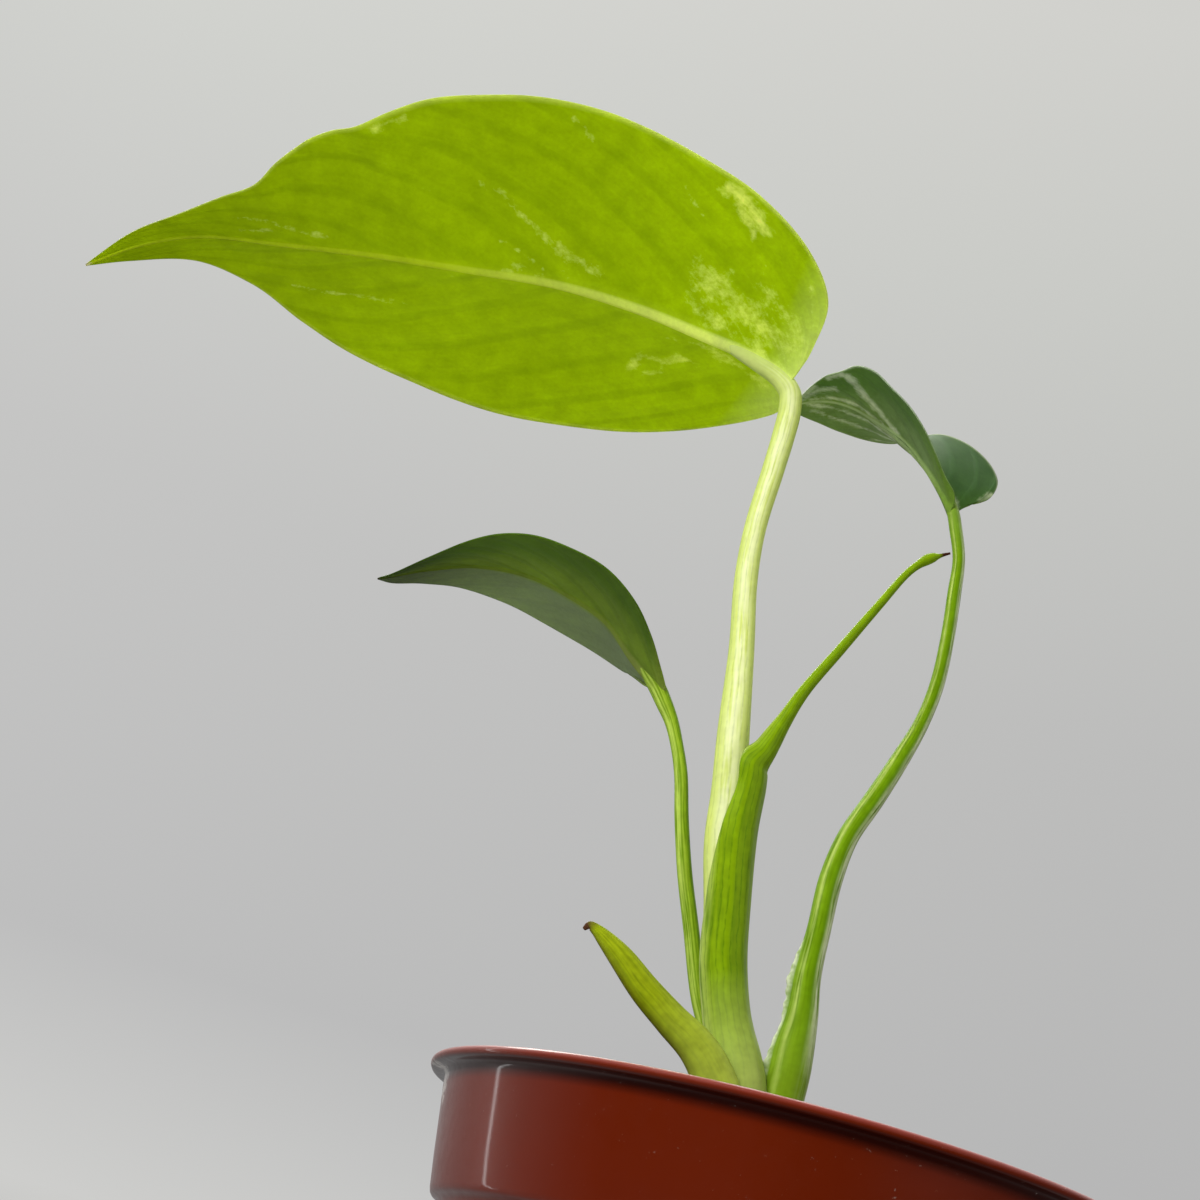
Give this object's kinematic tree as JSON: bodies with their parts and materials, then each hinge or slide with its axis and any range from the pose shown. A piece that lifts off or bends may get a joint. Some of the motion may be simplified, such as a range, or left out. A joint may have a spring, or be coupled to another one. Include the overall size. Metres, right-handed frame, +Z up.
{
  "type": "potted swiss cheese plant",
  "caption": "Young climbing plant with arched leaves on tall stalks, a rolled new leaf and a side shoot, in a round nursery pot with potting mix.",
  "frame": {"origin": "centre of the pot's flat base, on the surface that it stands on", "axes": "+Z up the pot's axis; -Y is the side the plant is seen from in the picture; the big leaf reaches towards -X"},
  "size_m": [0.2003, 0.105, 0.2363],
  "materials": {
    "pot_plastic": "satin",
    "potting_mix": "matte",
    "bark": "matte",
    "perlite": "matte",
    "crown": "satin",
    "pale_stalk": "satin",
    "green_stalk": "satin",
    "lit_leaf": "satin",
    "dark_leaf": "satin",
    "dull_leaf": "satin",
    "shoot": "satin"
  },
  "bodies": {
    "root": {"nursery_pot": "pot_plastic", "potting_soil": "potting_mix", "bark_chip_1": "bark", "bark_chip_2": "bark", "bark_chip_3": "bark", "bark_chip_4": "bark", "bark_chip_5": "bark", "bark_chip_6": "bark", "bark_chip_7": "bark", "bark_chip_8": "bark", "perlite_grain_1": "perlite", "perlite_grain_2": "perlite", "perlite_grain_3": "perlite", "perlite_grain_4": "perlite", "perlite_grain_5": "perlite", "perlite_grain_6": "perlite", "perlite_grain_7": "perlite", "perlite_grain_8": "perlite", "plant_stem": "crown", "main_leaf_petiole": "pale_stalk", "main_leaf_blade": "lit_leaf", "left_leaf_petiole": "green_stalk", "left_leaf_blade": "dark_leaf", "right_leaf_petiole": "green_stalk", "right_leaf_blade": "dull_leaf", "new_leaf_sheath": "green_stalk", "side_shoot": "shoot"}
  },
  "joints": []
}
